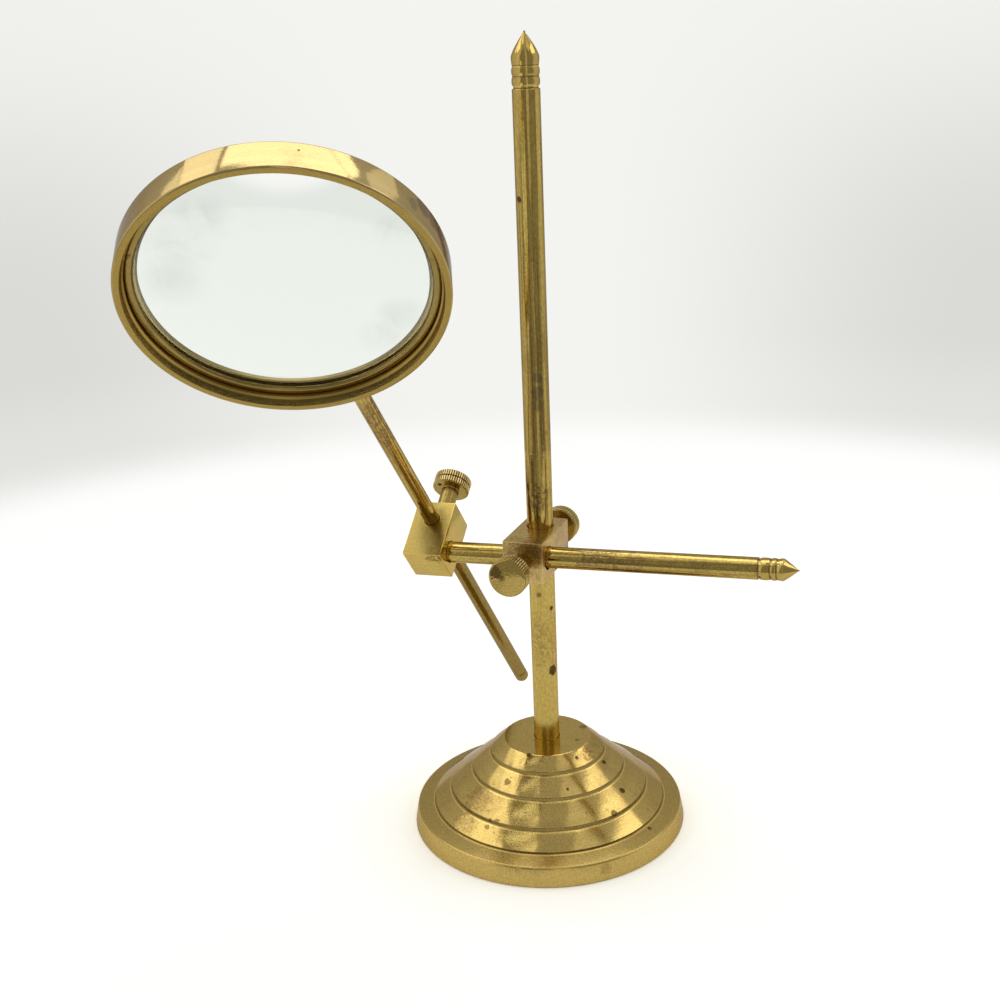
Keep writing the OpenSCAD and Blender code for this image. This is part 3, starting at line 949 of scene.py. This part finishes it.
class MAGNIFIER_OT_lens_frame(bpy.types.Operator):
    """Turns the lens frame and its retaining ring"""

    bl_idname = "magnifier.lens_frame"
    bl_label = "Lens Frame and Ring"

    def execute(self, context):
        outline = soften([
            (47.75, 5.5), (49.6, 5.5, 0.25), (50, 5.1, 0.25), (50, -5.1, 0.25), (49.6, -5.5, 0.25),
            (43.4, -5.5, 0.25), (43, -5.1, 0.25), (43, -3.225, 0.1), (46.4, -2.75), (46.8, -2.75),
            (46.8, 2.3, 0.1), (47.3, 2.7, 0.1), (47.45, 2.9, 0.1), (47.75, 5.5),
        ])
        obj = turned("LensFrame", outline, FRAME, fine=2, sharp=35)
        # The seat of the lens rod's end and of its spigot
        seat = [
            (0, ROD_UP - 2), (ROD_BORE, ROD_UP - 2), (ROD_BORE, ROD_UP + 1.35),
            (1.95, ROD_UP + 1.35), (1.95, ROD_UP + 2.55), (0, ROD_UP + 2.55),
        ]
        cut_with(obj, turned("seat", seat, ROD, fine=0.5))
        smooth(obj, 35)
        mauve = (0.25, 0.17, 0.14)
        zones = [((42, 49.55), (-3, 7), 0.2, (0.86, 0.78, 0.45)),
                 ((42, 43.7), (-6, -2.9), 0.2, (0.45, 0.43, 0.3))]
        marks = [
            ((48.3, 13, -3), 3.0, 0.7, mauve), ((49, 8, -2.5), 3.0, 0.7, mauve),
            ((49.7, 3, -2), 3.0, 0.7, mauve), ((49.9, -2, -1), 3.0, 0.6, mauve),
            ((46.5, 18, 0), 2.5, 0.5, (0.27, 0.2, 0.15)),
            ((23, 44.4, -2), 0.5, 0.9, (0.1, 0.06, 0.03)),
        ]
        finish = brass("lens frame polished brass", FRAME, "turned", tarnished=0.2, stained=0.0,
                       rough=0.09, spotted=0.12, speckled=0.0, grain=0.35, mottled=0.15, dirt_and_shade=0.3,
                       seed=0.66, tone=(1.03, 1.09, 1.6), zones=zones, marks=marks)
        keep(obj, "lens_frame", finish, "lens_frame")

        outline = soften([
            (44.25, 0.023), (46.4, -0.25), (46.75, -0.25, 0.1), (46.75, 1.0, 0.5), (46.2, 1.3, 0.5),
            (44.8, 1.3, 0.5), (44.25, 0.75, 0.4), (44.25, 0.023),
        ])
        ring = turned("RetainingRing", outline, FRAME, fine=2, sharp=50)
        finish = brass("retaining ring brass", FRAME, "turned", tarnished=0.4, rough=0.24,
                       grain=0.6, seed=0.9, tone=(0.72, 0.72, 0.75))
        keep(ring, "lens_frame", finish, "retaining_ring")
        return {"FINISHED"}


class MAGNIFIER_OT_lens(bpy.types.Operator):
    """Grinds the biconvex lens"""

    bl_idname = "magnifier.lens"
    bl_label = "Lens"

    def execute(self, context):
        rim = 46.4
        rise = 3.0
        back = -2.7
        front = -0.3
        curve = (rim ** 2 + rise ** 2) / (2 * rise)
        count = 40

        def height(r):
            return math.sqrt(curve ** 2 - r ** 2) - math.sqrt(curve ** 2 - rim ** 2)

        radii = [rim * i / count for i in range(count)] + [rim - 0.2]
        outline = [(r, back - height(r)) for r in radii]
        outline += [(rim, back + 0.2), (rim, front - 0.2)]
        outline += [(r, front + height(r)) for r in reversed(radii)]
        obj = turned("LensGlass", outline, FRAME, fine=1.5, sharp=25)
        keep(obj, "lens_frame", lens_glass("crown glass", FRAME), "lens")
        return {"FINISHED"}


class MAGNIFIER_OT_hardware(bpy.types.Operator):
    """Finishes the steel studs, washer and nut, which keep their CAD shapes"""

    bl_idname = "magnifier.hardware"
    bl_label = "Studs, Washer and Nut"

    def execute(self, context):
        rows = (
            ("base_washer", UPRIGHT), ("base_nut", UPRIGHT), ("arm_lock_stud", ARM_LOCK),
            ("post_lock_stud", POST_LOCK), ("rod_lock_stud", ROD_LOCK),
        )
        for node, place in rows:
            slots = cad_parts[node].material_slots
            if not slots:
                raise RuntimeError(node + " has no material slot")
            finish = steel(node.replace("_", " ") + " steel", place)
            for slot in slots:
                slot.material = finish.material
        return {"FINISHED"}


# Stage


def windows(f, x, y, tone):
    """Two upright pale strips in front of the stand, which the rods reflect as bright lines."""
    bearing = f.maths("ARCTAN2", x, f.times(y, -1.0))
    left = f.times(f.ramp(bearing, -1.05, -0.95), f.fall(bearing, -0.46, -0.40))
    right = f.times(f.ramp(bearing, 0.36, 0.40), f.fall(bearing, 0.60, 0.66))
    tone = f.mix(left, tone, (0.78, 0.77, 0.72))
    return f.mix(right, tone, (0.62, 0.61, 0.57))


def floor_paint():
    f = Finish("pale floor")
    shades = colours()
    where = f.local(UPRIGHT)
    x, y, z = f.split(where)
    reach = f.length(x, y)
    # Painted light: a warm tint near the base, for the light that the brass throws onto the floor
    warm = f.mix(f.ramp(reach, 0.05, 0.09), (0.95, 0.91, 0.74), shades.floor)
    clouded = f.coat(warm, f.noise(where, 9, 3), 0.04, (0.9, 0.9, 0.9))
    both = f.add("ShaderNodeAddShader")
    f.wire(f.shader_of("ShaderNodeBsdfDiffuse", (*TABLE, 1)), both.inputs[0])
    f.wire(f.shader_of("ShaderNodeEmission", clouded, 0.32), both.inputs[1])
    far = f.shader_of("ShaderNodeEmission", (*shades.floor, 1))
    bright = f.choose(f.ramp(reach, 0.36, 0.49), both.outputs[0], far)

    # The metal sees the table itself, which is darker beyond a line in front of the stand
    darker_front = f.fall(y, -0.316, -0.308)
    tone = f.mix(darker_front, TABLE, windows(f, x, y, (0.42, 0.41, 0.38)))
    # It is darker still at the front left, out of the picture
    slope = f.maths("SUBTRACT", x, f.times(y, 0.7))
    corner = f.times(f.fall(slope, 0.1015, 0.1055), f.fall(y, -0.296, -0.293))
    plain = f.shader_of("ShaderNodeBsdfDiffuse", f.mix(corner, tone, (0.2, 0.19, 0.17)))
    f.wire(f.choose(f.seen(), plain, bright), f.surface)
    return f.material


def sweep_paint():
    f = Finish("pale sweep")
    shades = colours()
    x, y, z = f.split(f.local(UPRIGHT))
    bearing = f.maths("ARCTAN2", x, y)
    # Painted shade: the backdrop is darker at the sides, at mid height
    aside = f.ramp(f.maths("ABSOLUTE", f.maths("ADD", bearing, 0.38)), 0.08, 0.54)
    level = f.times(f.ramp(z, 0.0, 0.05, 0.7, 1.0), f.ramp(z, 0.08, 0.33, 1.0, 0.15))
    shade = [value * 0.78 for value in shades.backdrop]
    wall = f.mix(f.times(aside, level), shades.backdrop, shade)
    paint = f.mix(f.ramp(f.length(x, y), 0.50, 0.63), shades.floor, wall)
    # Painted light: the backdrop is 6 % brighter where it is seen through the lens
    through = f.add("ShaderNodeLightPath").outputs["Is Transmission Ray"]
    f.wire(f.shader_of("ShaderNodeEmission", paint, f.plus(1.0, through, 0.06)), f.surface)
    return f.material


def paint_world(world):
    """The room that the metal sees: darker in front, with two pale strips and a grey ceiling."""
    world.use_nodes = True
    world.node_tree.nodes.clear()
    f = Wiring(world.node_tree)
    direction = f.add("ShaderNodeTexCoord").outputs["Generated"]
    x, y, z = f.split(direction)
    toward = f.vector_maths("DOT_PRODUCT", direction, (0.34, -0.94, 0))["Value"]
    tone = f.mix(f.fall(toward, -0.8, -0.3), (0.66, 0.66, 0.65), ROOM_GREY)
    tone = f.mix(f.ramp(toward, 0.10, 0.55), tone, (0.30, 0.295, 0.28))
    tone = f.mix(f.ramp(z, 0.72, 0.9), windows(f, x, y, tone), ROOM_GREY)
    room = f.shader_of("ShaderNodeBackground", tone)
    plain = f.shader_of("ShaderNodeBackground", (*colours().backdrop, 1))
    output = f.add("ShaderNodeOutputWorld")
    f.wire(f.choose(f.seen(), room, plain), output.inputs["Surface"])


def ceiling_panel(name, low, high, radiance):
    """A softbox that faces down, as bright as it looks in a mirror."""
    lamp = bpy.data.lights.new(name, "AREA")
    lamp.shape = "RECTANGLE"
    lamp.size = high[0] - low[0]
    lamp.size_y = high[1] - low[1]
    lamp.energy = radiance * math.pi * lamp.size * lamp.size_y
    obj = bpy.data.objects.new(name, lamp)
    bpy.context.scene.collection.objects.link(obj)
    obj.location = ((low[0] + high[0]) / 2, (low[1] + high[1]) / 2, CEILING)


def place_camera(scene):
    ahead = Vector((math.sin(CAMERA_YAW) * math.cos(CAMERA_PITCH),
                    math.cos(CAMERA_YAW) * math.cos(CAMERA_PITCH), math.sin(CAMERA_PITCH)))
    right = Vector((math.cos(CAMERA_YAW), -math.sin(CAMERA_YAW), 0))
    up = right.cross(ahead)
    side = math.cos(CAMERA_ROLL) * right + math.sin(CAMERA_ROLL) * up
    top = -math.sin(CAMERA_ROLL) * right + math.cos(CAMERA_ROLL) * up
    camera = bpy.data.cameras.new("camera")
    camera.lens = FOCAL_LENGTH
    camera.clip_start = 0.01
    obj = bpy.data.objects.new("camera", camera)
    scene.collection.objects.link(obj)
    turned_to = Matrix((side, top, -ahead)).transposed().to_4x4()
    obj.matrix_world = Matrix.Translation(Vector(CAMERA_PLACE)) @ turned_to
    scene.camera = obj


class MAGNIFIER_OT_stage(bpy.types.Operator):
    """Sets up the floor, the backdrop, the lamps, the world and the camera"""

    bl_idname = "magnifier.stage"
    bl_label = "Stage"

    def execute(self, context):
        # A floor in the middle, and a sweep that rises all round it
        floor = turned("floor", [(0, 0), (200, 0), (400, 0), (500, 0)])
        rise = soften([(500, 0), (640, 0, 400), (900, 160, 200), (1400, 1500)], points=16)
        sweep = turned("sweep", rise)
        for obj, paint in ((floor, floor_paint()), (sweep, sweep_paint())):
            obj.data.materials.append(paint)
        sweep.visible_diffuse = False
        sweep.visible_shadow = False
        sweep.visible_glossy = False

        for panel in PANELS:
            ceiling_panel(*panel)
        scene = context.scene
        scene.world = scene.world or bpy.data.worlds.new("studio")
        paint_world(scene.world)
        place_camera(scene)
        scene.view_settings.view_transform = "Standard"
        return {"FINISHED"}


class MAGNIFIER_PT_panel(bpy.types.Panel):
    """Lists the pieces of the magnifying glass"""

    bl_idname = "MAGNIFIER_PT_panel"
    bl_label = "Magnifying Glass on Stand"
    bl_space_type = "VIEW_3D"
    bl_region_type = "UI"
    bl_category = "Magnifier"

    def draw(self, context):
        for piece in PIECES:
            self.layout.operator(piece.bl_idname)
        for group in (colours(), sizes()):
            column = self.layout.column()
            for key in group.__annotations__:
                column.prop(group, key)


PIECES = (
    MAGNIFIER_OT_base,
    MAGNIFIER_OT_rods,
    MAGNIFIER_OT_finials,
    MAGNIFIER_OT_blocks,
    MAGNIFIER_OT_thumbscrews,
    MAGNIFIER_OT_lens_frame,
    MAGNIFIER_OT_lens,
    MAGNIFIER_OT_hardware,
    MAGNIFIER_OT_stage,
)
CLASSES = (MagnifierColours, MagnifierSizes, *PIECES, MAGNIFIER_PT_panel)


def register():
    for cls in CLASSES:
        bpy.utils.register_class(cls)
    bpy.types.Scene.magnifier_colours = PointerProperty(type=MagnifierColours)
    bpy.types.Scene.magnifier_sizes = PointerProperty(type=MagnifierSizes)


def unregister():
    del bpy.types.Scene.magnifier_sizes
    del bpy.types.Scene.magnifier_colours
    for cls in reversed(CLASSES):
        bpy.utils.unregister_class(cls)


def main():
    register()
    for piece in PIECES:
        group, name = piece.bl_idname.split(".")
        getattr(getattr(bpy.ops, group), name)()


if __name__ == "__main__":
    main()
